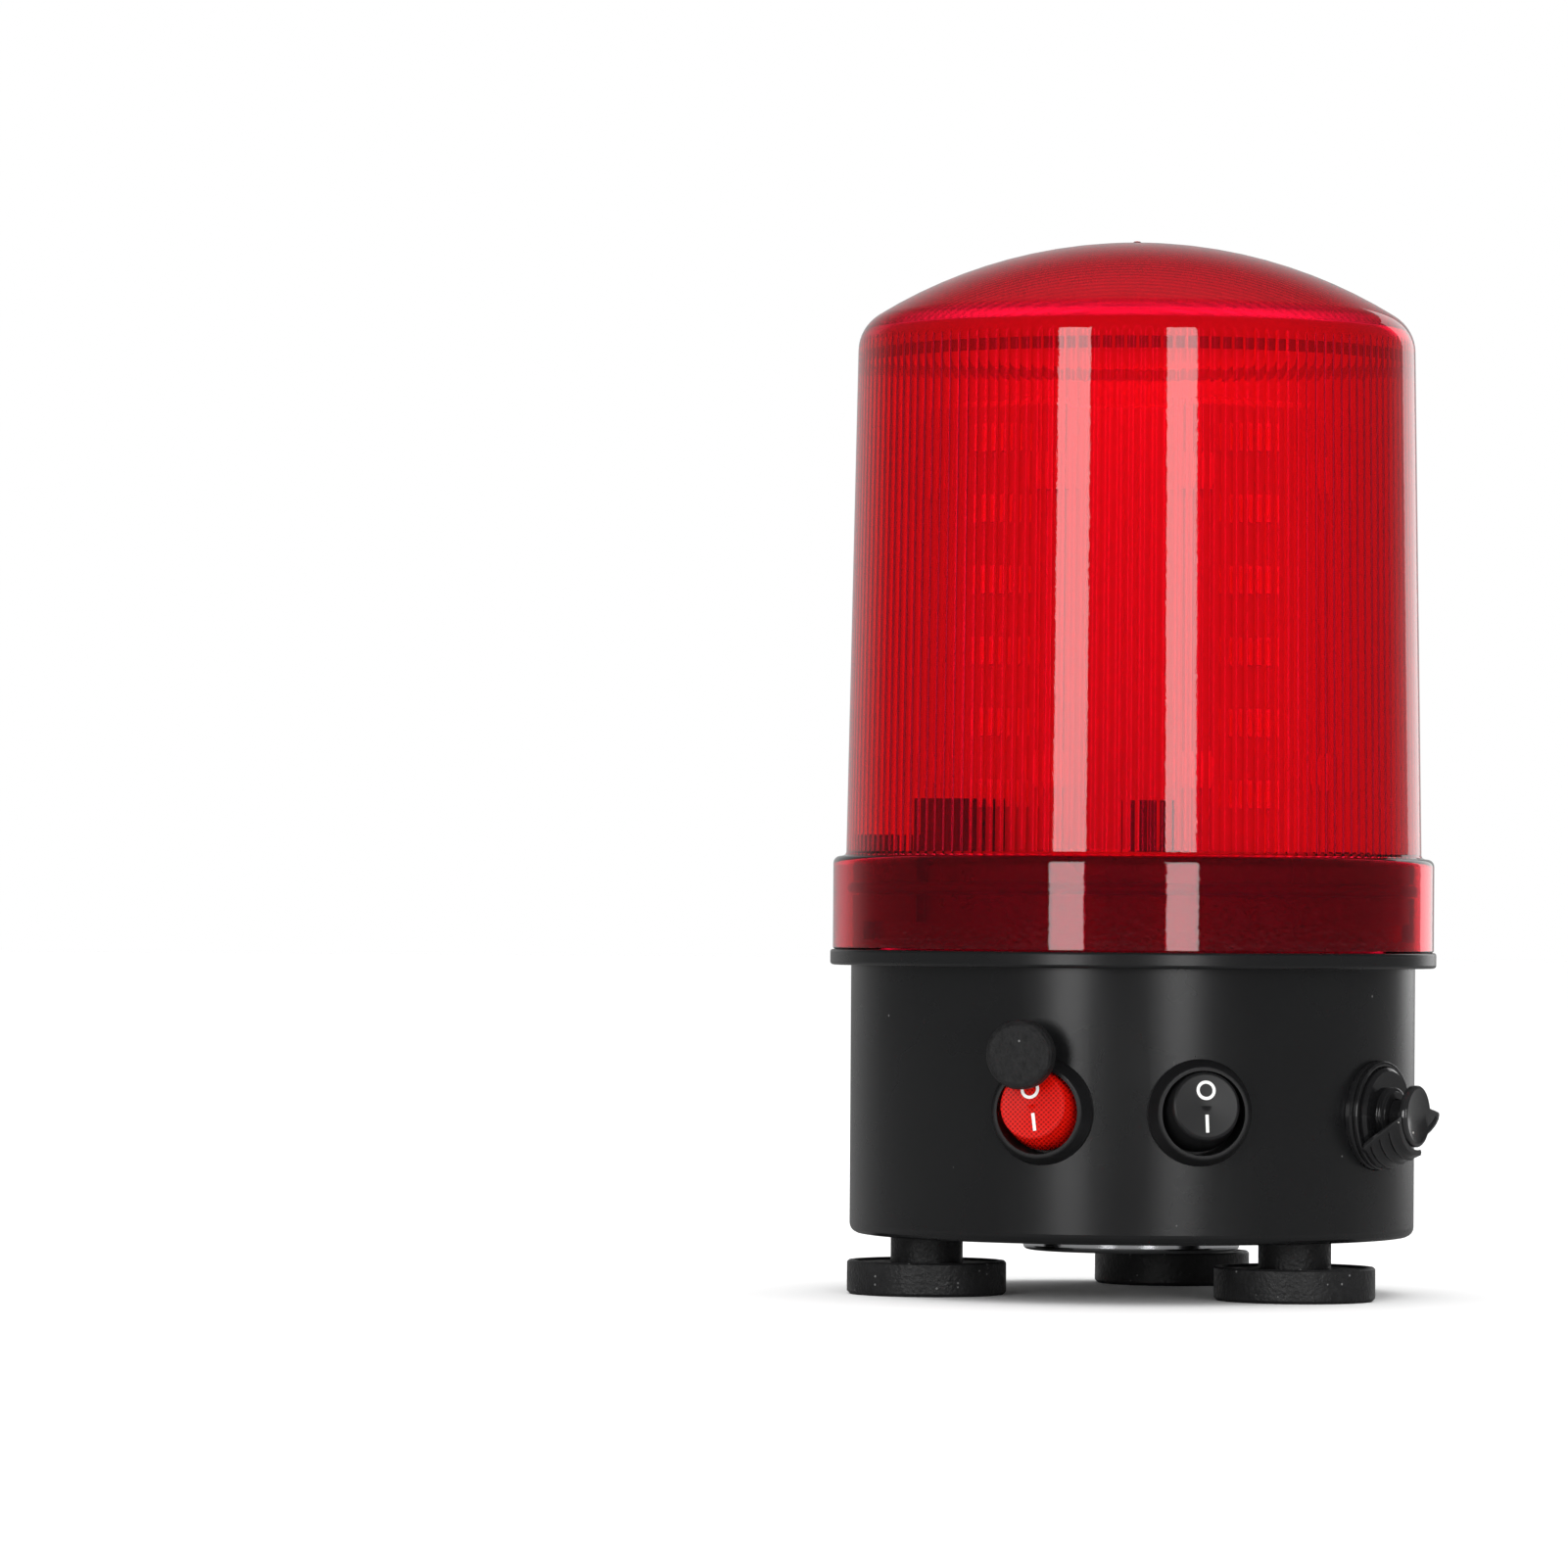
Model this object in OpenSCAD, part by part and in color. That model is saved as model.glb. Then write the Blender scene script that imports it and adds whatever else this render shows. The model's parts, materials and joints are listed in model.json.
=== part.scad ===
// Rechargeable LED beacon siren: transparent dome over four LED boards, on a cup-shaped
// base with a siren speaker, two rocker switches, a knob, a charging inlet and magnetic feet.
// Millimetres, +Z up, origin on the surface it stands on, under the centre of the dome.
// The front (-Y) is midway between the two rocker switches.

/* [Base] */
// outside radius of the cup
base_r = 45.6; // [40:0.1:52]
// height of the underside of the cup
base_z = 9.4; // [8:0.1:14]
// wall thickness of the cup
wall = 2.5; // [1.8:0.1:4]
// outside radius of the flange
flange_r = 49.0; // [45:0.1:56]
// height of the underside of the flange
flange_z = 52.7; // [48:0.1:60]
// thickness of the flange
flange_t = 2.5; // [2:0.1:4]
// top of the spigot that the lens turns on
spigot_top = 69.4; // [66:0.1:74]

/* [Lens] */
// outside radius of the collar
collar_r = 48.6; // [45:0.1:55]
// bore radius of the collar
collar_bore = 46.4; // [44:0.1:52]
// height of the top of the collar
collar_top = 70.3; // [68:0.1:76]
// outside radius of the dome just above the collar
dome_r_low = 46.5; // [42:0.1:50]
// outside radius of the dome at the shoulder
dome_r_high = 45.1; // [40:0.1:50]
// height at which the shoulder starts
shoulder_z = 152.2; // [120:0.1:180]
// radius of the shoulder
shoulder_r = 6.6; // [3:0.1:10]
// height of the top of the dome
dome_top = 169.8; // [140:0.1:200]
// thickness of the top of the dome
dome_wall = 2.2; // [1.5:0.1:4]
// number of upright flutes inside the dome
flutes = 144; // [60:12:180]
// how far the lens turns to unlock, in degrees
unlock_turn = 20; // [10:1:30]

/* [Feet] */
// radius of a foot
foot_r = 12.8; // [8:0.1:16]
// height of a foot
foot_h = 5.4; // [4:0.1:10]
// distance of a foot from the centre line
foot_ring = 34.6; // [25:0.1:38]
// radius of the neck above a foot
neck_r = 5.8; // [4:0.1:8]

/* [Switches] */
// angle of each switch from the front, in degrees
switch_at = 15.8; // [14:0.1:30]
// height of the switch centres
switch_z = 30.2; // [26:0.1:40]
// outside radius of the bezel
bezel_r = 8.35; // [7:0.1:10]
// how far the bezel stands out from the wall
bezel_out = 2.3; // [1:0.1:4]
// tilt of a rocker each way, in degrees
rocker_tilt = 10; // [5:1:15]
// turn of the red switch in its hole, in degrees
red_turn = 11; // [-20:1:20]

/* [Knob] */
// radius of the knob
knob_r = 5.45; // [4:0.1:8]
// angle of the knob from the front, in degrees
knob_at = -17.2; // [-40:0.1:0]
// height of the knob's centre
knob_z = 39.2; // [36:0.1:46]

/* [Charging inlet] */
// angle of the inlet from the front, in degrees
jack_at = 60.5; // [40:0.5:80]
// height of the inlet's centre
jack_z = 29.5; // [24:0.1:40]
// radius of the inlet's flange
jack_flange_r = 8.65; // [7:0.05:10]

/* [Light tower] */
// distance of the front of each LED board from the centre line
board_out = 27.7; // [20:0.1:32]
// width of an LED board
board_w = 20.6; // [14:0.1:26]
// height of the top of the LED boards
board_top = 142.1; // [100:0.1:150]
// turn of the tower, in degrees
tower_turn = -2; // [-45:1:45]
// height of the top LEDs
led_top_z = 137.1; // [100:0.1:145]
// distance between LEDs up a board
led_pitch = 11.37; // [8:0.01:16]

/* [View] */
// sub-part to show

/* [Hidden] */
$fn = 96;
floor_top = base_z + wall;
base_bore = base_r - wall;
flange_top = flange_z + flange_t;
spigot_r = collar_bore - 1.0;
siren_hole = 14.9;
siren_r = 17.5;
siren_z = base_z - 2.5;
siren_screw_ring = 25.6;
foot_angles = [50.9, -69.1, 170.9];
lug_angles = [60, 180, 300];
lug_half = 5;
lug_z = 57.1;
lug_h = 2.4;
deck_z = 63.6;
deck_t = 2;
seal_z = 64;
deck_screw_ring = 38.6;
driver_z = deck_z + deck_t + 2.4;
driver_t = 1.6;
driver_top = driver_z + driver_t;
seat_out = base_r - 0.7;
pivot_out = base_r - 2.8;
face_out = 7.0;
cell_r = 9.2;
cell_half = 32.5;
cell_z = 37.5;
cell_front_y = -2.4;
cell_rear_y = 16.2;
board_t = 1.6;
tower_angles = [43, -47, 133, 223];
jack_out = seat_out + 1.3;
cap_out = 52.6;

// points along an arc, from angle a0 to angle a1
function arc(cx, cy, r, a0, a1, n) =
  [for (i = [0:n]) let (a = a0 + (a1 - a0) * i / n) [cx + r * cos(a), cy + r * sin(a)]];

// children built with local z pointing away from the centre line, at an angle from the front
module facing(angle, z) rotate([0, 0, angle]) translate([0, 0, z]) rotate([90, 0, 0]) children();

// children moved out along the front direction turned by an angle
module spoke(angle, r) rotate([0, 0, angle]) translate([0, -r, 0]) children();

module rod(r, z0, z1) translate([0, 0, z0]) cylinder(r = r, h = z1 - z0);

module tube(ri, ro, z0, z1) difference() {
  rod(ro, z0, z1);
  rod(ri, z0 - 1, z1 + 1);
}

// part of a ring, centred on an angle from the front
module ring_part(ri, ro, z0, z1, angle, half)
  rotate([0, 0, angle - 90 - half])
    rotate_extrude(angle = 2 * half)
      translate([ri, z0]) square([ro - ri, z1 - z0]);

module block(x0, x1, y0, y1, z0, z1) translate([x0, y0, z0]) cube([x1 - x0, y1 - y0, z1 - z0]);

module wire(points, r = 0.6) {
  for (i = [0:len(points) - 2]) {
    v = points[i + 1] - points[i];
    l = norm(v);
    translate(points[i])
      rotate([0, acos(v[2] / l), atan2(v[1], v[0])])
        cylinder(r = r, h = l, $fn = 24);
  }
  for (i = [1:len(points) - 2]) translate(points[i]) sphere(r = r + 0.06, $fn = 24);
}

// ---- base ----

module base_shell() rotate_extrude() polygon(concat(
  [[siren_hole, base_z]],
  arc(base_r - 1.6, base_z + 1.6, 1.6, -90, 0, 5),
  [[base_r, flange_z]],
  arc(flange_r - 0.5, flange_z + 0.5, 0.5, -90, 0, 3),
  arc(flange_r - 0.4, flange_top - 0.4, 0.4, 0, 90, 3),
  [[spigot_r, flange_top], [spigot_r, seal_z], [spigot_r - 1, seal_z]],
  [[spigot_r - 1, seal_z + 2.2], [spigot_r, seal_z + 2.2], [spigot_r, spigot_top], [base_bore, spigot_top]],
  [[base_bore, floor_top], [siren_hole, floor_top]]
));

module lug_slots() for (a = lug_angles) {
  ring_part(spigot_r - 1.6, spigot_r + 1, lug_z - 0.2, lug_z + lug_h + 0.2,
            a + unlock_turn / 2, lug_half + 0.7 + unlock_turn / 2);
  ring_part(spigot_r - 1.5, spigot_r + 1.1, lug_z + 0.4, spigot_top + 1,
            a + unlock_turn, lug_half + 0.5);
}

module wall_openings() {
  for (s = [-1, 1]) facing(s * switch_at, switch_z) {
    rod(7.5, 38, 50);
    rod(bezel_r + 0.08, seat_out, 50);
  }
  facing(knob_at, knob_z) rod(1.3, 38, 50);
  facing(jack_at, jack_z) {
    rod(5.5, 38, 50);
    rod(jack_flange_r + 0.1, seat_out, 50);
  }
}

module base_housing() color([0.05, 0.055, 0.06]) difference() {
  union() {
    base_shell();
    for (a = [0, 120, 240]) spoke(a, deck_screw_ring) rod(5.1, deck_z - 12, deck_z);
    for (p = [[29.5, -4], [-29.5, -4], [26, 19], [-26, 19]])
      translate(p) rod(2.4, floor_top - 1, 26.4);
    for (x = [-14, 14]) translate([x, 29.3]) rod(2, floor_top - 1, 26);
  }
  for (a = foot_angles) spoke(a, foot_ring) rod(3.1, base_z - 1, floor_top + 1);
  for (a = [0, 120, 240]) {
    spoke(a, deck_screw_ring) rod(1.5, deck_z - 9, deck_z + 1);
    spoke(a + 60, siren_screw_ring) rod(1.0, base_z + 0.6, floor_top + 1);
  }
  lug_slots();
  wall_openings();
}

// ---- feet ----

module foot(i) color([0.09, 0.09, 0.1]) spoke(foot_angles[i], foot_ring)
  rotate_extrude() polygon([
    [0, 0], [foot_r - 0.5, 0], [foot_r, 0.5], [foot_r, foot_h - 0.3],
    [foot_r - 0.3, foot_h], [foot_r - 1.1, foot_h], [foot_r - 1.5, foot_h - 0.35],
    [neck_r, foot_h - 0.35], [neck_r, base_z], [3.05, base_z], [3.05, 4.35],
    [10.5, 4.35], [10.5, 1.2], [0, 1.2]
  ]);

module foot_front_right() foot(0);
module foot_front_left() foot(1);
module foot_rear() foot(2);

module foot_magnets() color([0.55, 0.56, 0.58])
  for (a = foot_angles) spoke(a, foot_ring) tube(3.3, 10.4, 1.2, 3.3);

module foot_studs() color([0.72, 0.73, 0.75])
  for (a = foot_angles) spoke(a, foot_ring) {
    rod(10.4, 3.3, 4.3);
    rod(2.95, 4.2, 16);
  }

module foot_nuts() color([0.75, 0.76, 0.78])
  for (a = foot_angles) spoke(a, foot_ring) difference() {
    translate([0, 0, floor_top]) cylinder(r = 5, h = 2.6, $fn = 6);
    rod(3.0, floor_top - 1, 20);
  }

// ---- siren speaker ----

module siren_rim() color([0.78, 0.79, 0.8]) rotate_extrude() polygon(concat(
  [[14.2, siren_z]],
  arc(siren_r - 0.8, siren_z + 0.8, 0.8, -90, 0, 4),
  [[siren_r, base_z], [15.0, base_z], [15.0, siren_z + 0.6], [14.2, siren_z + 0.6]]
));

module siren_grille() color([0.12, 0.12, 0.13]) difference() {
  rod(14.9, siren_z + 0.6, siren_z + 1.3);
  for (k = [1:3], i = [0:6 * k - 1])
    rotate(360 * i / (6 * k)) translate([4.0 * k, 0]) rod(1.05, siren_z, siren_z + 2);
  rod(1.05, siren_z, siren_z + 2);
}

module siren_cone() color([0.16, 0.14, 0.12]) rotate_extrude() polygon([
  [20.6, 12.4], [20.6, 13.0], [18.6, 13.0], [8, 17.6], [0, 18.6], [0, 18.0], [7.8, 17.0],
  [18.4, 12.4]
]);

module siren_frame() color([0.5, 0.51, 0.53]) difference() {
  rotate_extrude() polygon([
    [20.8, floor_top], [27.2, floor_top], [27.2, 14], [24, 14], [16.4, 20.5], [12.6, 20.5],
    [12.6, 19.3], [15.6, 19.3], [20.8, 14.4]
  ]);
  for (a = [60, 180, 300]) spoke(a, siren_screw_ring) rod(1.05, 11, 15);
  for (a = [0:60:359]) spoke(a, 20.2) rod(1.6, 16.5, 22);
}

module siren_magnet() color([0.2, 0.2, 0.22]) {
  rod(15, 20.5, 25.2);
  rod(11, 25.1, 26.2);
}

module siren_screws() color([0.7, 0.71, 0.73])
  for (a = [60, 180, 300]) spoke(a, siren_screw_ring) {
    rod(0.95, 10.3, 14.1);
    rod(1.5, 14, 15.2);
  }

// ---- rocker switches ----

module switch_shape(turn) rotate([0, 0, turn]) difference() {
  union() {
    rotate_extrude() polygon(concat(
      [[0, 40.0], [7.4, 40.0], [7.4, seat_out], [bezel_r, seat_out], [bezel_r, seat_out + 0.5]],
      arc(7.05, base_r + bezel_out - 0.35, 0.35, 20, 90, 3),
      [[0, base_r + bezel_out]]
    ));
    block(-5.8, 5.8, -6.2, 6.2, 30, 41);
  }
  rod(6.65, pivot_out - 1.9, 60);
  translate([0, 0, pivot_out]) rotate([0, 90, 0]) rod(0.75, -7.1, 7.1);
}

module rocker_shape() {
  rotate_extrude() polygon([
    [0, -0.5], [6.1, -0.5], [6.3, 0.4], [6.3, 1.4], [5.75, 4.6], [5.4, face_out - 0.5],
    [5.2, face_out - 0.12], [4.9, face_out], [0, face_out - 0.15]
  ]);
  rotate([0, 90, 0]) rod(0.7, -7.0, 7.0);
}

module rocker_marks() {
  translate([0, 2.45, face_out - 0.14]) tube(1.05, 1.52, 0, 0.16);
  block(-0.25, 0.25, -4.2, -1.4, face_out - 0.13, face_out + 0.02);
}

// children carried by a rocker, on its pivot, pressed in at the top
module on_pivot(angle, turn) facing(angle, switch_z)
  rotate([0, 0, turn]) translate([0, 0, pivot_out]) rotate([-rocker_tilt, 0, 0]) children();

module red_switch_housing() color([0.04, 0.04, 0.045]) difference() {
  facing(-switch_at, switch_z) switch_shape(red_turn);
  facing(knob_at, knob_z) rod(1.3, 38, 50);
}
module black_switch_housing() color([0.04, 0.04, 0.045]) facing(switch_at, switch_z) switch_shape(0);

module red_rocker() color([0.72, 0.04, 0.05, 0.9]) on_pivot(-switch_at, red_turn) difference() {
  rocker_shape();
  rocker_marks();
}
module black_rocker() color([0.05, 0.05, 0.055]) on_pivot(switch_at, 0) difference() {
  rocker_shape();
  rocker_marks();
}
module red_rocker_marks() color([0.93, 0.93, 0.92]) on_pivot(-switch_at, red_turn) rocker_marks();
module black_rocker_marks() color([0.93, 0.93, 0.92]) on_pivot(switch_at, 0) rocker_marks();

module switch_terminals() color([0.78, 0.72, 0.5])
  for (s = [-1, 1], y = [-3.4, 3.4])
    facing(s * switch_at, switch_z)
      rotate([0, 0, s < 0 ? red_turn : 0])
        difference() {
          block(-2.4, 2.4, y - 0.4, y + 0.4, 23, 30);
          translate([0, y, 25.2]) rotate([90, 0, 0]) rod(0.9, -2, 2);
        }

// ---- knob ----

module knob() color([0.06, 0.06, 0.065]) facing(knob_at, knob_z) {
  rotate_extrude() polygon([
    [0, 50.8], [knob_r - 0.3, 50.8], [knob_r, 51.1], [knob_r, 52.9], [knob_r - 0.3, 53.5],
    [knob_r - 0.9, 53.9], [0, 54.0]
  ]);
  rod(1.0, 39, 51);
}

module potentiometer() color([0.2, 0.3, 0.45]) facing(knob_at, knob_z) difference() {
  union() {
    block(-3.2, 3.2, -1.5, 5.5, 35, 42.7);
    for (x = [-1.9, 0, 1.9]) translate([x, 2]) rod(0.35, 31.5, 35.2);
  }
  rod(1.05, 38.9, 45);
}

// ---- charging inlet ----

module jack_body() color([0.06, 0.06, 0.065]) facing(jack_at, jack_z) difference() {
  union() {
    rod(5.4, 33.5, 45);
    rotate_extrude() polygon(concat(
      [[0, seat_out]],
      [[jack_flange_r, seat_out]],
      arc(jack_flange_r - 0.6, jack_out - 0.6, 0.6, 0, 90, 4),
      [[7.6, jack_out], [7.6, jack_out + 1.2], [7.1, jack_out + 1.7], [0, jack_out + 1.7]]
    ));
    for (w = [0:0.5:1.4]) translate([0, 0, jack_out + 1.6 + w])
      cylinder(r1 = 4.15, r2 = 3.8, h = 0.5);
  }
  rod(2.75, 38.5, 60);
}

module jack_pin() color([0.8, 0.76, 0.6]) facing(jack_at, jack_z) {
  rod(1.0, 38.5, 46.5);
  translate([0, 0, 46.5]) cylinder(r1 = 1.0, r2 = 0.6, h = 0.5);
}

module jack_nut() color([0.72, 0.73, 0.75]) facing(jack_at, jack_z) difference() {
  translate([0, 0, 39.6]) cylinder(r = 7.6, h = 2.5, $fn = 6);
  rod(5.45, 39, 43);
}

module jack_terminals() color([0.78, 0.72, 0.5]) facing(jack_at, jack_z)
  for (a = [90, 210, 330]) rotate(a) block(2.6, 3.2, -1.2, 1.2, 28.8, 33.5);

// rubber strap: a ring round the flange's boss and a scoop that reaches out under the cap
module jack_strap() color([0.07, 0.07, 0.075]) facing(jack_at, jack_z) {
  tube(7.7, 8.6, jack_out, jack_out + 0.8);
  difference() {
    rotate_extrude() polygon([
      [7.75, jack_out + 0.7], [8.5, jack_out + 0.7], [8.45, jack_out + 1.3],
      [6.05, cap_out + 0.6], [5.25, cap_out + 0.6], [7.75, jack_out + 1.9]
    ]);
    translate([-12, -5.5, jack_out + 0.3]) rotate([-38, 0, 0]) block(0, 24, 0, 24, -12, 24);
    block(0.9, 12, -12, 12, jack_out + 1.7, 60);
  }
}

module jack_cap() color([0.1, 0.1, 0.105]) facing(jack_at, jack_z) {
  tube(1.3, 2.6, 43.7, cap_out - 0.2);
  translate([0, 0, cap_out]) rotate([0, 6, 0]) {
    rod(4.9, -0.65, 0.65);
    linear_extrude(1.3, center = true)
      polygon([[2, -3.4], [3.9, -3.1], [6.7, -1.8], [8.7, 0.5], [4.7, 1.35], [2, 2]]);
  }
}

// ---- cells ----

module cell(y) color([0.16, 0.38, 0.62]) translate([0, y, cell_z]) rotate([0, 90, 0])
  rotate_extrude() polygon([
    [0, -cell_half], [8.6, -cell_half], [cell_r, -cell_half + 0.6], [cell_r, cell_half - 2.4],
    [8.8, cell_half - 1.9], [8.8, cell_half - 1.0], [3.6, cell_half - 1.0], [3.6, cell_half],
    [0, cell_half]
  ]);
module cell_front() cell(cell_front_y);
module cell_rear() cell(cell_rear_y);

module cell_holder() color([0.1, 0.1, 0.11]) difference() {
  union() {
    block(-34, 34, -9.5, 23, 26.4, 28);
    for (s = [-1, 1]) translate([s * 33.35, 0]) block(-0.65, 0.65, -9.5, 23, 27, 44);
    for (y = [-9.5, 6.2, 21.4]) block(-33, 33, y, y + 1.6, 27, 31);
  }
  for (y = [cell_front_y, cell_rear_y]) translate([0, y, cell_z])
    rotate([0, 90, 0]) rod(cell_r + 0.1, -32.7, 32.7);
  for (x = [-22, 0, 22]) block(x - 6, x + 6, 3, 11, 26, 28.5);
}

module cell_contacts() color([0.8, 0.8, 0.78]) for (s = [-1, 1])
  translate([s * 32.6, 0]) block(-0.1, 0.1, cell_front_y - 3, cell_rear_y + 3, 33.5, 41.5);

module charge_board() color([0.05, 0.32, 0.15]) difference() {
  block(-18, 18, 28.5, 30.1, 26, 50);
  for (x = [-15.5, 15.5]) translate([x, 29, 47.5]) rotate([90, 0, 0]) rod(1.4, -3, 3);
}

module charge_parts() color([0.12, 0.12, 0.13]) {
  block(-12, -4, 30.1, 32, 36, 43);
  block(2, 7, 30.1, 31.6, 40, 45);
  block(9, 15, 30.1, 33.6, 30, 37);
  for (x = [-15, -11]) translate([x, 30.1, 30.5]) rotate([-90, 0, 0]) rod(1.8, 0, 3.2);
  for (x = [-4:2:6]) block(x, x + 1.1, 30.1, 30.7, 32, 34);
}

// ---- deck and driver board ----

module deck() color([0.07, 0.07, 0.075]) difference() {
  union() {
    rod(42.8, deck_z, deck_z + deck_t);
    for (a = [30:90:359]) spoke(a, 29) rod(2.6, deck_z + 1, driver_z);
  }
  for (a = [0, 120, 240]) spoke(a, deck_screw_ring) rod(1.65, deck_z - 1, driver_z + 1);
  rod(5, deck_z - 1, driver_z);
}

module deck_screws() color([0.7, 0.71, 0.73])
  for (a = [0, 120, 240]) spoke(a, deck_screw_ring) difference() {
    union() {
      rod(1.45, deck_z - 8.5, deck_z + deck_t + 0.1);
      rod(2.8, deck_z + deck_t, deck_z + deck_t + 1.8);
    }
    for (q = [0, 90]) rotate(q)
      block(-1.6, 1.6, -0.3, 0.3, deck_z + deck_t + 0.8, deck_z + deck_t + 3);
  }

module driver_board() color([0.86, 0.87, 0.85]) difference() {
  rod(41.2, driver_z, driver_top);
  translate([6, 3]) rod(2.2, driver_z - 1, driver_top + 1);
}

module driver_capacitors() color([0.06, 0.06, 0.08]) {
  translate([-28, -22.4]) rod(4.6, driver_top, driver_top + 9.7);
  translate([3.7, -29.8]) rod(2.35, driver_top, driver_top + 9.5);
}

module driver_chips() color([0.09, 0.09, 0.1]) {
  block(-39.2, -33.4, -6, 0, driver_top, driver_top + 4);
  spoke(8, 34.5) block(-4, 4, -2, 2, driver_top, driver_top + 1.5);
  spoke(70, 34) block(-3, 3, -2.5, 2.5, driver_top, driver_top + 1.6);
  spoke(150, 34) block(-5, 5, -3, 3, driver_top, driver_top + 3);
  for (a = [20:8:52]) spoke(a, 37.5) block(-1, 1, -0.6, 0.6, driver_top, driver_top + 0.6);
}

// ---- light tower ----

module tower_side(i) spoke(tower_angles[i], 0) children();

module led_carrier() color([0.92, 0.92, 0.9]) {
  for (i = [0:3]) tower_side(i) {
    block(-10.5, 10.5, -board_out + board_t, -board_out + board_t + 2, driver_top, board_top + 1);
    block(-1.1, 1.1, -board_out + board_t + 1, -3, driver_top + 0.2, board_top + 0.3);
    for (s = [-1, 1], z = [81.1, 128.5]) {
      clip = -board_out - 0.75;
      block(min(10.4 * s, 12 * s), max(10.4 * s, 12 * s), clip, -board_out + board_t + 1.6, z, z + 5.8);
      block(min(9.4 * s, 10.7 * s), max(9.4 * s, 10.7 * s), clip, clip + 0.7, z + 0.8, z + 5);
    }
  }
  rod(6, driver_top + 0.1, board_top + 0.6);
  rod(20, driver_top + 0.3, driver_top + 1.8);
}

module led_board(i) color([0.93, 0.93, 0.91]) tower_side(i)
  block(-board_w / 2, board_w / 2, -board_out, -board_out + board_t, driver_top + 1.5, board_top);
module led_board_front_right() led_board(0);
module led_board_front_left() led_board(1);
module led_board_rear_right() led_board(2);
module led_board_rear_left() led_board(3);

module leds() color([0.95, 0.94, 0.88]) for (i = [0:3], k = [0:5]) tower_side(i)
  translate([0, -board_out, led_top_z - k * led_pitch]) difference() {
    block(-2.2, 2.2, -1.2, 0, -2.2, 2.2);
    rotate([90, 0, 0]) rod(1.7, 0.8, 2);
  }

module led_phosphor() color([0.95, 0.78, 0.2]) for (i = [0:3], k = [0:5]) tower_side(i)
  translate([0, -board_out, led_top_z - k * led_pitch]) rotate([90, 0, 0]) rod(1.6, 0.8, 1.1);

// ---- seal and wires ----

module seal_ring() color([0.1, 0.1, 0.1])
  rotate_extrude() translate([spigot_r - 0.05, seal_z + 1.1]) circle(r = 0.88, $fn = 32);

module battery_wires() color([0.75, 0.1, 0.1]) for (s = [-1, 1])
  wire([[s * 33.3, 18, 44], [s * 33.3, 18, 49.4], [s * 18.7, 29.3, 49.4]]);

module speaker_wires() color([0.85, 0.75, 0.2]) for (s = [0, 1])
  wire([[17 + 2 * s, 21 - s, 15.4], [16 + 2 * s, 25.7, 17], [8 + 3 * s, 26.1, 22 + s],
        [8 + 3 * s, 26.4, 30]]);

module light_wires() color([0.1, 0.1, 0.1]) for (s = [-1, 1])
  wire([[s * 1.4, 27.3, 48], [s * 1.4, 26.5, 54], [s * 1.4, 3, 58], [s * 1.4, 0, 61],
        [s * 1.4, 0, driver_z]]);

// ---- lens ----

function sphere_z() =
  (pow(dome_top - shoulder_r, 2) - pow(shoulder_z, 2) - pow(dome_r_high - shoulder_r, 2))
  / (2 * (dome_top - shoulder_r - shoulder_z));
function top_r() = dome_top - sphere_z();
function meet() = atan2(shoulder_z - sphere_z(), dome_r_high - shoulder_r);

// outline of the shoulder and top, moved inward by t
function dome_arc(t) = concat(
  arc(dome_r_high - shoulder_r, shoulder_z, shoulder_r - t, 0, meet(), 6),
  [for (i = [1:9]) let (a = meet() + (90 - meet()) * i / 9)
    [i == 9 ? 0 : (top_r() - t) * cos(a), sphere_z() + (top_r() - t) * sin(a)]]
);

module lens() color([0.85, 0.03, 0.06, 0.45]) {
  difference() {
    rotate_extrude() polygon(concat(
      [[0, flange_top + 0.05], [collar_r, flange_top + 0.05]],
      arc(collar_r - 1.2, collar_top - 1.2, 1.2, 0, 90, 5),
      [[dome_r_low + 0.7, collar_top], [dome_r_low, collar_top + 0.7]],
      dome_arc(0)
    ));
    rod(collar_bore, 50, spigot_top + 0.2);
    translate([0, 0, spigot_top]) linear_extrude(shoulder_z - 1.1 - spigot_top) polygon(
      [for (i = [0:2 * flutes - 1]) let (r = i % 2 == 0 ? 43.4 : 42.95)
        [r * sin(180 * i / flutes), r * cos(180 * i / flutes)]]);
    rotate_extrude() polygon(concat([[0, 140], [42.9, 140]], dome_arc(dome_wall)));
  }
  for (a = lug_angles) ring_part(44.2, collar_bore + 0.4, lug_z, lug_z + lug_h, a, lug_half);
}

base_housing();
foot_front_right();
foot_front_left();
foot_rear();
foot_magnets();
foot_studs();
foot_nuts();
siren_rim();
siren_grille();
siren_cone();
siren_frame();
siren_magnet();
siren_screws();
red_switch_housing();
black_switch_housing();
red_rocker();
black_rocker();
red_rocker_marks();
black_rocker_marks();
switch_terminals();
knob();
potentiometer();
jack_body();
jack_pin();
jack_nut();
jack_terminals();
jack_strap();
jack_cap();
cell_front();
cell_rear();
cell_holder();
cell_contacts();
charge_board();
charge_parts();
deck();
deck_screws();
driver_board();
driver_capacitors();
driver_chips();
led_carrier();
led_board_front_right();
led_board_front_left();
led_board_rear_right();
led_board_rear_left();
leds();
led_phosphor();
seal_ring();
battery_wires();
speaker_wires();
light_wires();
lens();
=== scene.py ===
import json
import math

import bmesh
import bpy
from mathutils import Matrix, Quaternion, Vector


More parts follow.
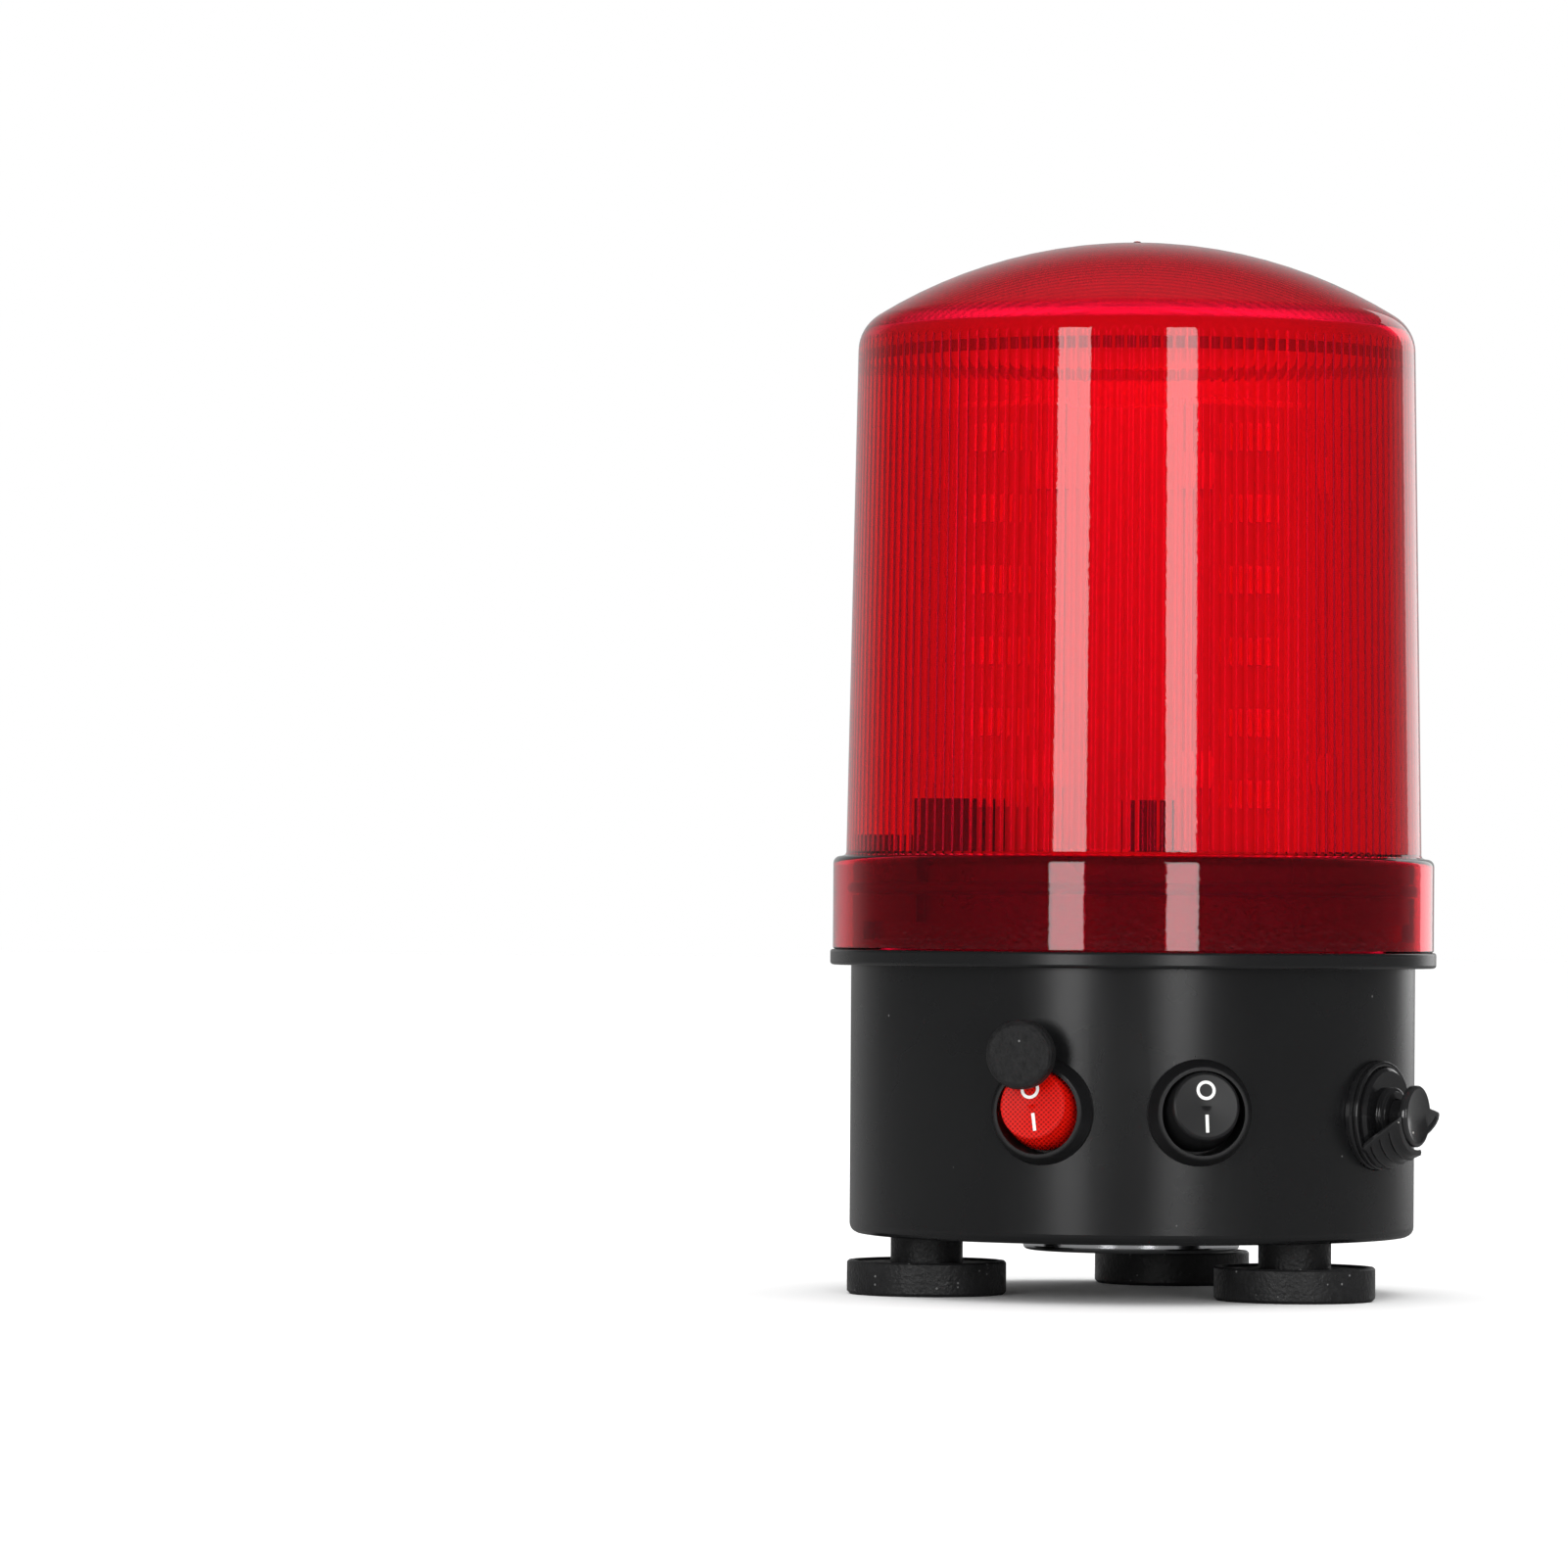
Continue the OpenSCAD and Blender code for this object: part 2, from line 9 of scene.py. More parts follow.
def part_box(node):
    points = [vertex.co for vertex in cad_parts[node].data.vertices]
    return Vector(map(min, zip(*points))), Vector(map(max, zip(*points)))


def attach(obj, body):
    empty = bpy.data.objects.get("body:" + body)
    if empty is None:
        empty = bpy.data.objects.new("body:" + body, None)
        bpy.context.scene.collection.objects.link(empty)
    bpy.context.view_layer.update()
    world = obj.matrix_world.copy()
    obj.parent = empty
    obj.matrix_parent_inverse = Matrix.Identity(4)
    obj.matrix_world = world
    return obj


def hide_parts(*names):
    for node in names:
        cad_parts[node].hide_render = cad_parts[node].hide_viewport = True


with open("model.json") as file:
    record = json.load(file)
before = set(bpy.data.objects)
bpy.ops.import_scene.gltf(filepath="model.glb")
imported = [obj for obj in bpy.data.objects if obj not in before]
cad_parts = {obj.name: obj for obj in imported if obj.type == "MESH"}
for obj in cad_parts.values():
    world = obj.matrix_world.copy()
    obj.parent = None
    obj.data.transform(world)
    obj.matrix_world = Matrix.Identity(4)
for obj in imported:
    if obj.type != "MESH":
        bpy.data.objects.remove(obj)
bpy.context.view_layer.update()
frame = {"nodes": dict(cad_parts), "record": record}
nodes = frame["nodes"]
MM = 0.001


def box_mm(node):
    """Lowest and highest corner of a CAD node, in millimetres."""
    low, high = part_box(node)
    return Vector(low) / MM, Vector(high) / MM


# ------------------------------------------------------------------ camera

EYE = Vector((0.0499, -1.2703, 0.0616))
HEADING = math.radians(4.805)
PITCH = math.radians(0.9135)
ROLL = math.radians(0.40)


def make_camera():
    data = bpy.data.cameras.new("camera")
    data.lens = 180
    data.sensor_width = 36
    data.clip_start = 0.05
    data.clip_end = 50
    cam = bpy.data.objects.new("camera", data)
    bpy.context.collection.objects.link(cam)
    look = Vector((-math.sin(HEADING) * math.cos(PITCH),
                   math.cos(HEADING) * math.cos(PITCH),
                   math.sin(PITCH)))
    cam.location = EYE
    cam.rotation_mode = "QUATERNION"
    cam.rotation_quaternion = look.to_track_quat("-Z", "Y") @ Quaternion((0, 0, 1), ROLL)
    bpy.context.scene.camera = cam


# ------------------------------------------------------------------ studio

def area_light(name, place, target, width, height, radiance):
    """A rectangular soft light whose face has the given radiance."""
    data = bpy.data.lights.new(name, "AREA")
    data.shape = "RECTANGLE"
    data.size = width
    data.size_y = height
    data.energy = radiance * width * height * math.pi
    light = bpy.data.objects.new(name, data)
    bpy.context.collection.objects.link(light)
    light.location = place
    light.rotation_mode = "QUATERNION"
    light.rotation_quaternion = (Vector(target) - Vector(place)).to_track_quat("-Z", "Y")
    light.visible_camera = False
    return light


def around(azimuth, distance, height):
    """A point at that azimuth (0 is towards the camera, 90 to its right) round the dome."""
    a = math.radians(azimuth) + HEADING
    return Vector((math.sin(a) * distance, -math.cos(a) * distance, height))


def mirrored_only(nt, path):
    """1 for rays that bounced off a glossy face, 0 for those that went through the lens."""
    return math_node(nt, "SUBTRACT", path.outputs["Is Glossy Ray"],
                     path.outputs["Is Transmission Ray"], clamp=True)


def floor_tone_painted_dark_in_reflections(nt):
    """Pale to the eye, painted dark in glossy reflections: a painted shade standing in for a dark studio in
    front.
    """
    path = nt.nodes.new("ShaderNodeLightPath")
    n = nt.nodes.new("ShaderNodeMix")
    n.data_type = "RGBA"
    nt.links.new(mirrored_only(nt, path), n.inputs[0])
    n.inputs[6].default_value = (0.86, 0.86, 0.86, 1)
    # painted shade: the floor turns 0.2 only where it is seen in a glossy reflection
    n.inputs[7].default_value = (0.2, 0.2, 0.2, 1)
    return n.outputs[2]


def make_studio():
    world = bpy.data.worlds.new("studio")
    bpy.context.scene.world = world
    world.use_nodes = True
    nt = world.node_tree
    nt.nodes.clear()
    out = nt.nodes.new("ShaderNodeOutputWorld")
    bg = nt.nodes.new("ShaderNodeBackground")
    bg.inputs["Color"].default_value = (1, 1, 1, 1)
    coord = nt.nodes.new("ShaderNodeTexCoord")
    dot = nt.nodes.new("ShaderNodeVectorMath")
    dot.operation = "DOT_PRODUCT"
    dot.inputs[1].default_value = (-math.sin(HEADING), math.cos(HEADING), -0.5)
    ramp = nt.nodes.new("ShaderNodeMapRange")
    ramp.interpolation_type = "SMOOTHSTEP"
    ramp.inputs["From Min"].default_value = 0.45
    ramp.inputs["From Max"].default_value = 0.95
    ramp.inputs["To Min"].default_value = 0.07
    ramp.inputs["To Max"].default_value = 0.5
    path = nt.nodes.new("ShaderNodeLightPath")
    mirrored = mirrored_only(nt, path)
    open_sky = nt.nodes.new("ShaderNodeMix")
    open_sky.inputs[2].default_value = 1.17
    open_sky.inputs[3].default_value = 1.0
    nt.links.new(path.outputs["Is Camera Ray"], open_sky.inputs[0])
    through = nt.nodes.new("ShaderNodeMapRange")
    through.inputs["From Min"].default_value = -0.6
    through.inputs["From Max"].default_value = 0.8
    through.inputs["To Min"].default_value = 2.0
    through.inputs["To Max"].default_value = 0.8
    nt.links.new(dot.outputs["Value"], through.inputs["Value"])
    inside = nt.nodes.new("ShaderNodeMix")
    nt.links.new(path.outputs["Is Transmission Ray"], inside.inputs[0])
    nt.links.new(open_sky.outputs[0], inside.inputs[2])
    nt.links.new(through.outputs["Result"], inside.inputs[3])
    mix = nt.nodes.new("ShaderNodeMix")
    nt.links.new(inside.outputs[0], mix.inputs[2])
    nt.links.new(coord.outputs["Generated"], dot.inputs[0])
    nt.links.new(dot.outputs["Value"], ramp.inputs["Value"])
    nt.links.new(mirrored, mix.inputs[0])
    nt.links.new(ramp.outputs["Result"], mix.inputs[3])
    nt.links.new(mix.outputs[0], bg.inputs["Strength"])
    nt.links.new(bg.outputs[0], out.inputs["Surface"])

    area_light("strip_left", around(-27.5, 1.6, 0.12), (0, 0, 0.1), 0.37, 1.1, 6.0)
    area_light("strip_right", around(15.8, 1.6, 0.12), (0, 0, 0.1), 0.34, 1.1, 6.0)
    overhead = area_light("overhead", Vector((0.1, 0.5, 1.7)), (0, 0, 0), 2.0, 1.6, 1.6)
    overhead.visible_glossy = False
    area_light("side_right", around(150, 1.5, 0.25), (0, 0, 0.08), 0.6, 1.2, 0.9)

    bm = bmesh.new()
    bmesh.ops.create_circle(bm, cap_ends=True, radius=9, segments=128)
    mesh = bpy.data.meshes.new("floor")
    bm.to_mesh(mesh)
    bm.free()
    floor = bpy.data.objects.new("floor", mesh)
    bpy.context.collection.objects.link(floor)
    floor.location = (0, 0, 0)
    mat = bpy.data.materials.new("pale_floor")
    mat.use_nodes = True
    bsdf = mat.node_tree.nodes["Principled BSDF"]
    # the floor colour carries a painted shade in reflections
    shade = floor_tone_painted_dark_in_reflections(mat.node_tree)
    mat.node_tree.links.new(shade, bsdf.inputs["Base Color"])
    bsdf.inputs["Roughness"].default_value = 0.9
    bsdf.inputs["Specular IOR Level"].default_value = 0.0
    mesh.materials.append(mat)
    bpy.context.scene.view_settings.view_transform = "Standard"
    bpy.context.scene.view_settings.look = "None"


# ------------------------------------------------------------------ shader groups

def new_group(name, ins, outs):
    group = bpy.data.node_groups.new(name, "ShaderNodeTree")
    for label, kind, value in ins:
        s = group.interface.new_socket(label, in_out="INPUT", socket_type=kind)
        if value is not None:
            s.default_value = value
    for label, kind in outs:
        group.interface.new_socket(label, in_out="OUTPUT", socket_type=kind)
    return group, group.nodes.new("NodeGroupInput"), group.nodes.new("NodeGroupOutput")


def math_node(tree, op, a, b=None, c=None, clamp=False):
    n = tree.nodes.new("ShaderNodeMath")
    n.operation = op
    n.use_clamp = clamp
    for i, v in enumerate((a, b, c)):
        if v is None:
            continue
        if isinstance(v, (int, float)):
            n.inputs[i].default_value = v
        else:
            tree.links.new(v, n.inputs[i])
    return n.outputs[0]


def make_grain_group():
    """Moulded surface grain: a height for bump and a slow change of tone."""
    g, gi, go = new_group(
        "moulded_grain",
        [("Coordinates", "NodeSocketVector", None), ("Grain", "NodeSocketFloat", 2500.0),
         ("Patch", "NodeSocketFloat", 60.0)],
        [("Height", "NodeSocketFloat"), ("Tone", "NodeSocketFloat")])
    fine = g.nodes.new("ShaderNodeTexNoise")
    fine.inputs["Detail"].default_value = 3
    slow = g.nodes.new("ShaderNodeTexNoise")
    slow.inputs["Detail"].default_value = 4
    slow.inputs["Roughness"].default_value = 0.6
    for n, key in ((fine, "Grain"), (slow, "Patch")):
        g.links.new(gi.outputs["Coordinates"], n.inputs["Vector"])
        g.links.new(gi.outputs[key], n.inputs["Scale"])
    g.links.new(fine.outputs["Fac"], go.inputs["Height"])
    g.links.new(slow.outputs["Fac"], go.inputs["Tone"])
    return g


def make_dust_group():
    """Small specks of dust, more of them on faces that look up."""
    g, gi, go = new_group(
        "dust_specks",
        [("Coordinates", "NodeSocketVector", None), ("Density", "NodeSocketFloat", 0.5),
         ("Scale", "NodeSocketFloat", 900.0)],
        [("Mask", "NodeSocketFloat")])
    cells = g.nodes.new("ShaderNodeTexVoronoi")
    cells.inputs["Randomness"].default_value = 1.0
    g.links.new(gi.outputs["Coordinates"], cells.inputs["Vector"])
    g.links.new(gi.outputs["Scale"], cells.inputs["Scale"])
    dot = math_node(g, "LESS_THAN", cells.outputs["Distance"], 0.16)
    pick = g.nodes.new("ShaderNodeSeparateColor")
    g.links.new(cells.outputs["Color"], pick.inputs[0])
    geo = g.nodes.new("ShaderNodeNewGeometry")
    up = g.nodes.new("ShaderNodeSeparateXYZ")
    g.links.new(geo.outputs["Normal"], up.inputs[0])
    lift = math_node(g, "MULTIPLY_ADD", up.outputs["Z"], 0.06, 0.045)
    limit = math_node(g, "MULTIPLY", lift, gi.outputs["Density"])
    few = math_node(g, "LESS_THAN", pick.outputs[0], limit)
    g.links.new(math_node(g, "MULTIPLY", dot, few), go.inputs["Mask"])
    return g


def make_wear_group():
    """Edges rubbed a little paler."""
    g, gi, go = new_group(
        "rubbed_edges",
        [("Coordinates", "NodeSocketVector", None), ("Amount", "NodeSocketFloat", 0.4)],
        [("Mask", "NodeSocketFloat")])
    geo = g.nodes.new("ShaderNodeNewGeometry")
    edge = g.nodes.new("ShaderNodeMapRange")
    edge.inputs["From Min"].default_value = 0.52
    edge.inputs["From Max"].default_value = 0.62
    g.links.new(geo.outputs["Pointiness"], edge.inputs["Value"])
    noise = g.nodes.new("ShaderNodeTexNoise")
    noise.inputs["Scale"].default_value = 400
    noise.inputs["Detail"].default_value = 4
    g.links.new(gi.outputs["Coordinates"], noise.inputs["Vector"])
    rough = math_node(g, "MULTIPLY", edge.outputs["Result"], noise.outputs["Fac"])
    g.links.new(math_node(g, "MULTIPLY", rough, gi.outputs["Amount"], clamp=True), go.inputs["Mask"])
    return g


GRAIN = make_grain_group()
DUST = make_dust_group()
WEAR = make_wear_group()


# ------------------------------------------------------------------ materials

def use_group(nt, group, coords, **values):
    n = nt.nodes.new("ShaderNodeGroup")
    n.node_tree = group
    nt.links.new(coords, n.inputs["Coordinates"])
    for key, value in values.items():
        n.inputs[key].default_value = value
    return n


def mix_colour(nt, factor, a, b):
    n = nt.nodes.new("ShaderNodeMix")
    n.data_type = "RGBA"
    if isinstance(factor, (int, float)):
        n.inputs[0].default_value = factor
    else:
        nt.links.new(factor, n.inputs[0])
    for socket, v in ((n.inputs[6], a), (n.inputs[7], b)):
        if isinstance(v, tuple):
            socket.default_value = (*v, 1.0)
        else:
            nt.links.new(v, socket)
    return n.outputs[2]


def surface(name, colour, rough, metal=0.0, grain=2500.0, depth=0.02, patch=60.0, tone=0.15,
            rough_change=0.1, dust=0.0, wear=0.0, dust_colour=(0.55, 0.53, 0.5), specular=0.5):
    """A solid finish with grain, slow changes of tone and gloss, dust and rubbed edges."""
    mat = bpy.data.materials.new(name)
    mat.use_nodes = True
    nt = mat.node_tree
    bsdf = nt.nodes["Principled BSDF"]
    coord = nt.nodes.new("ShaderNodeTexCoord").outputs["Object"]
    g = use_group(nt, GRAIN, coord, Grain=grain, Patch=patch)
    light = tuple(min(1.0, c * (1 + tone) + 0.002) for c in colour)
    dark = tuple(c * (1 - tone) for c in colour)
    shade = mix_colour(nt, g.outputs["Tone"], dark, light)
    if wear:
        w = use_group(nt, WEAR, coord, Amount=wear)
        pale = tuple(min(1.0, c * 1.8 + 0.03) for c in colour)
        shade = mix_colour(nt, w.outputs["Mask"], shade, pale)
    if dust:
        d = use_group(nt, DUST, coord, Density=dust)
        shade = mix_colour(nt, d.outputs["Mask"], shade, dust_colour)
    nt.links.new(shade, bsdf.inputs["Base Color"])
    change = math_node(nt, "MULTIPLY_ADD", g.outputs["Tone"], rough_change,
                       rough - rough_change / 2, clamp=True)
    nt.links.new(change, bsdf.inputs["Roughness"])
    bsdf.inputs["Metallic"].default_value = metal
    bsdf.inputs["Specular IOR Level"].default_value = specular
    if depth:
        bump = nt.nodes.new("ShaderNodeBump")
        bump.inputs["Strength"].default_value = 0.6
        bump.inputs["Distance"].default_value = depth * MM
        nt.links.new(g.outputs["Height"], bump.inputs["Height"])
        nt.links.new(bump.outputs["Normal"], bsdf.inputs["Normal"])
    return mat


RED_TINT = (0.905, 0.005, 0.042)


def red_glass(name, rough=0.02, rings=0.0, tint=RED_TINT):
    """Clear red plastic; rings adds the fine moulded hatching inside the cap."""
    mat = bpy.data.materials.new(name)
    mat.use_nodes = True
    nt = mat.node_tree
    bsdf = nt.nodes["Principled BSDF"]
    coord = nt.nodes.new("ShaderNodeTexCoord").outputs["Object"]
    g = use_group(nt, GRAIN, coord, Grain=1200.0, Patch=35.0)
    near = tuple(c * 0.97 for c in tint)
    far = tuple(min(1.0, c * 1.03) for c in tint)
    # painted shade: the red turns darker where the surface turns away from the view, towards the lens edges
    slant = nt.nodes.new("ShaderNodeLayerWeight")
    slant.inputs["Blend"].default_value = 0.5
    painted_edge_shade = nt.nodes.new("ShaderNodeMapRange")
    painted_edge_shade.inputs["From Min"].default_value = 0.04
    painted_edge_shade.inputs["From Max"].default_value = 0.4
    nt.links.new(slant.outputs["Facing"], painted_edge_shade.inputs["Value"])
    straight = mix_colour(nt, g.outputs["Tone"], near, far)
    painted_edge_shade_colour = tuple(c * d for c, d in zip(tint, (0.72, 0.5, 0.6)))
    nt.links.new(mix_colour(nt, painted_edge_shade.outputs["Result"], straight, painted_edge_shade_colour), bsdf.inputs["Base Color"])
    bsdf.inputs["Transmission Weight"].default_value = 1.0
    bsdf.inputs["IOR"].default_value = 1.49
    bsdf.inputs["Roughness"].default_value = rough
    bump = nt.nodes.new("ShaderNodeBump")
    if rings:
        split = nt.nodes.new("ShaderNodeSeparateXYZ")
        nt.links.new(coord, split.inputs[0])
        waves = [math_node(nt, "SINE", math_node(nt, "MULTIPLY", split.outputs[k], 2 * math.pi / (1.15 * MM)))
                 for k in ("X", "Y")]
        height = math_node(nt, "ADD", waves[0], waves[1])
        bump.inputs["Distance"].default_value = rings * MM
    else:
        height = g.outputs["Height"]
        bump.inputs["Distance"].default_value = 0.004 * MM
    bump.inputs["Strength"].default_value = 1.0
    nt.links.new(height, bump.inputs["Height"])
    nt.links.new(bump.outputs["Normal"], bsdf.inputs["Normal"])
    return mat


def make_materials():
    m = {}
    m["black_plastic"] = surface("satin_black_plastic", (0.005, 0.0052, 0.0056), 0.27, grain=3800,
                                 depth=0.012,
                                 patch=45, rough_change=0.08, dust=0.12, wear=0.2, specular=0.42,
                                 dust_colour=(0.12, 0.12, 0.12))
    m["foot_rubber"] = surface("foot_rubber", (0.008, 0.008, 0.0085), 0.4, grain=1700, depth=0.28,
                               patch=520,
                               tone=0.9, rough_change=0.5, dust=3.0, wear=0.3, dust_colour=(0.13, 0.13,
                               0.13), specular=0.4)
    m["magnet_steel"] = surface("magnet_plating", (0.6, 0.6, 0.62), 0.25, metal=1.0, grain=900, depth=0.004)
    m["zinc_steel"] = surface("zinc_plating", (0.62, 0.63, 0.66), 0.32, metal=1.0, grain=1200,
                              depth=0.006, tone=0.1)
    m["bright_rim"] = surface("bright_rim", (0.72, 0.73, 0.75), 0.14, metal=1.0, grain=700, depth=0.003,
                              tone=0.06)
    m["dark_steel"] = surface("black_lacquer", (0.02, 0.02, 0.022), 0.4, grain=1800, depth=0.01, dust=0.3)
    m["cone_film"] = surface("cone_film", (0.09, 0.075, 0.06), 0.5, grain=900, depth=0.02)
    m["speaker_steel"] = surface("pressed_steel", (0.5, 0.51, 0.53), 0.38, metal=1.0, grain=1400,
                                 depth=0.006)
    m["switch_black"] = surface("switch_black", (0.006, 0.006, 0.0065), 0.34, grain=1600, depth=0.006,
                                dust=0.1, wear=0.2,
                                specular=0.4)
    m["red_rocker"] = red_rocker_plastic()
    m["black_rocker"] = surface("black_rocker", (0.007, 0.007, 0.0075), 0.3, grain=1500, depth=0.004,
                                dust=0.12, specular=0.4)
    m["white_mark"] = surface("white_print", (0.82, 0.82, 0.8), 0.5, grain=2500, depth=0.004, tone=0.05)
    m["tinned_brass"] = surface("tinned_brass", (0.75, 0.68, 0.45), 0.3, metal=1.0, grain=1200, depth=0.005)
    m["knob_black"] = surface("grainy_knob", (0.010, 0.010, 0.0105), 0.55, grain=2100, depth=0.4,
                              patch=900, specular=0.35,
                              tone=0.9, rough_change=0.3, dust=0.5, dust_colour=(0.15, 0.15, 0.15))
    m["blue_plastic"] = surface("blue_plastic", (0.05, 0.12, 0.3), 0.35, grain=1500, depth=0.006)
    m["jack_black"] = surface("inlet_black", (0.006, 0.006, 0.0065), 0.14, grain=1500, depth=0.006,
                              dust=0.2, wear=0.5)
    m["cap_rubber"] = surface("cap_rubber", (0.007, 0.007, 0.0075), 0.14, grain=1300, depth=0.012,
                              tone=0.3, dust=0.3,
                              wear=0.9, specular=0.7)
    m["cell_wrap"] = surface("cell_wrap", (0.05, 0.18, 0.4), 0.28, grain=900, depth=0.004)
    m["holder_black"] = surface("holder_black", (0.02, 0.02, 0.021), 0.5, grain=2200, depth=0.015)
    m["nickel"] = surface("nickel_strip", (0.66, 0.64, 0.58), 0.28, metal=1.0, grain=1100, depth=0.004)
    m["green_board"] = surface("green_board", (0.015, 0.13, 0.045), 0.32, grain=1600, depth=0.006)
    m["chip_black"] = surface("epoxy_black", (0.02, 0.02, 0.021), 0.45, grain=2500, depth=0.01)
    m["deck_black"] = surface("deck_black", (0.02, 0.02, 0.021), 0.5, grain=2500, depth=0.015)
    m["white_board"] = surface("white_board", (0.8, 0.8, 0.77), 0.35, grain=1400, depth=0.004, tone=0.05)
    m["capacitor_sleeve"] = surface("capacitor_sleeve", (0.012, 0.012, 0.015), 0.3, grain=900, depth=0.004)
    m["white_plastic"] = surface("white_plastic", (0.84, 0.84, 0.81), 0.42, grain=2400, depth=0.01,
                                 tone=0.04)
    m["led_board_white"] = surface("led_board_white", (0.66, 0.66, 0.63), 0.3, grain=1400, depth=0.004,
                                   tone=0.04)
    m["led_package"] = surface("led_package", (0.97, 0.95, 0.9), 0.3, grain=1800, depth=0.004, tone=0.05)
    m["phosphor"] = surface("phosphor", (0.97, 0.8, 0.2), 0.35, grain=2600, depth=0.01, tone=0.12)
    m["seal_rubber"] = surface("seal_rubber", (0.015, 0.015, 0.015), 0.5, grain=1500, depth=0.01)
    m["red_wire"] = surface("red_insulation", (0.5, 0.02, 0.02), 0.45, grain=1200, depth=0.01)
    m["yellow_wire"] = surface("yellow_insulation", (0.6, 0.46, 0.04), 0.45, grain=1200, depth=0.01)
    m["black_wire"] = surface("black_insulation", (0.02, 0.02, 0.02), 0.45, grain=1200, depth=0.01)
    m["red_lens"] = red_glass("red_lens_smooth")
    return m


ROCKER_DOT = 0.75


def red_rocker_plastic():
    """See-through red with the fine dimples moulded inside the rocker."""
    mat = surface("red_rocker", (0.92, 0.008, 0.003), 0.2, grain=1300, depth=0.004, tone=0.12,
                  specular=0.35)
    nt = mat.node_tree
    bsdf = nt.nodes["Principled BSDF"]
    bsdf.inputs["Transmission Weight"].default_value = 0.35
    bsdf.inputs["IOR"].default_value = 1.5
    split = nt.nodes.new("ShaderNodeSeparateXYZ")
    nt.links.new(nt.nodes.new("ShaderNodeTexCoord").outputs["Object"], split.inputs[0])
    dots = [math_node(nt, "SINE", math_node(nt, "MULTIPLY", split.outputs[k], 2 * math.pi / (ROCKER_DOT * MM)))
            for k in ("X", "Z")]
    mask = math_node(nt, "MULTIPLY_ADD", math_node(nt, "MULTIPLY", dots[0], dots[1]), 1.6, 0.2, clamp=True)
    plain = bsdf.inputs["Base Color"].links[0].from_socket
    nt.links.new(mix_colour(nt, mask, plain, (0.36, 0.004, 0.002)), bsdf.inputs["Base Color"])
    return mat


def dress_cad_nodes(materials):
    for part in frame["record"]["subparts"]:
        obj = nodes[part["node"]]
        mat = materials[part["material_slot"]]
        if not obj.material_slots:
            obj.data.materials.append(mat)
        for s in obj.material_slots:
            s.material = mat


# ------------------------------------------------------------------ mesh helpers

def finish_mesh(name, bm, mats, body, smooth_angle=35):
    bmesh.ops.recalc_face_normals(bm, faces=bm.faces)
    for f in bm.faces:
        f.smooth = True
    limit = math.radians(smooth_angle)
    for e in bm.edges:
        if len(e.link_faces) == 2 and e.calc_face_angle(0) > limit:
            e.smooth = False
    mesh = bpy.data.meshes.new(name)
    bm.to_mesh(mesh)
    bm.free()
    for mat in mats:
        mesh.materials.append(mat)
    obj = bpy.data.objects.new(name, mesh)
    bpy.context.collection.objects.link(obj)
    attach(obj, body)
    return obj


def arc(cx, cy, r, a0, a1, n):
    return [(cx + r * math.cos(math.radians(a0 + (a1 - a0) * i / n)),
             cy + r * math.sin(math.radians(a0 + (a1 - a0) * i / n))) for i in range(n + 1)]


def revolve(bm, rings, count, at, kinds):
    """Joins rings of points round +Z; a ring of radius 0 is a pole.

    at(i, k, r, z) gives a point's radius and kinds(i, k) a face's material.
    """
    rows = []
    for i, (r, z) in enumerate(rings):
        if r == 0:
            rows.append([bm.verts.new((0, 0, z * MM))])
            continue
        row = []
        for k in range(count):
            a = 2 * math.pi * k / count
            rr = at(i, k, r, z)
            row.append(bm.verts.new((rr * math.sin(a) * MM, -rr * math.cos(a) * MM, z * MM)))
        rows.append(row)
    for i in range(len(rows) - 1):
        a, b = rows[i], rows[i + 1]
        for k in range(count):
            n = (k + 1) % count
            if len(a) == 1:
                f = bm.faces.new((a[0], b[k], b[n]))
            elif len(b) == 1:
                f = bm.faces.new((a[k], b[0], a[n]))
            else:
                f = bm.faces.new((a[k], b[k], b[n], a[n]))
            f.material_index = kinds(i, k)


# ------------------------------------------------------------------ lens

# The last two values set the band of painted shade on the inner wall, just below the shoulder.
LENS = dict(collar_r=48.6, bore=46.4, top=70.3, shelf=69.6, low_r=46.5, high_r=45.1,
            shoulder_z=152.2, shoulder_r=6.6, dome_top=169.8, wall=2.2, flutes=144, depth=0.18,
            shade_band_z=149.9, shade_band_h=1.9)
FLUTE_STEPS = 8
DOME_STEPS = 12
SEAM_ANGLE = 25.4
SEAM_HEIGHT = 0.05
CLEAR, HATCHED, THICK, PAINTED_SHADE_TEETH, CAP = range(5)


def dome_outline(inset, steps):
    """Shoulder and cap, from the wall up to the pole, moved inward by inset."""
    L = LENS
    h1, h0 = L["dome_top"] - L["shoulder_r"], L["shoulder_z"]
    a = L["high_r"] - L["shoulder_r"]
    centre = (h1 * h1 - h0 * h0 - a * a) / (2 * (h1 - h0))
    radius = L["dome_top"] - centre
    meet = math.degrees(math.atan2(h0 - centre, a))
    cap = [((radius - inset) * math.cos(math.radians(t)),
            centre + (radius - inset) * math.sin(math.radians(t)))
           for t in [meet + (90 - meet) * i / steps for i in range(1, steps)]]
    return arc(a, h0, L["shoulder_r"] - inset, 0, meet, 8), cap, centre + radius - inset


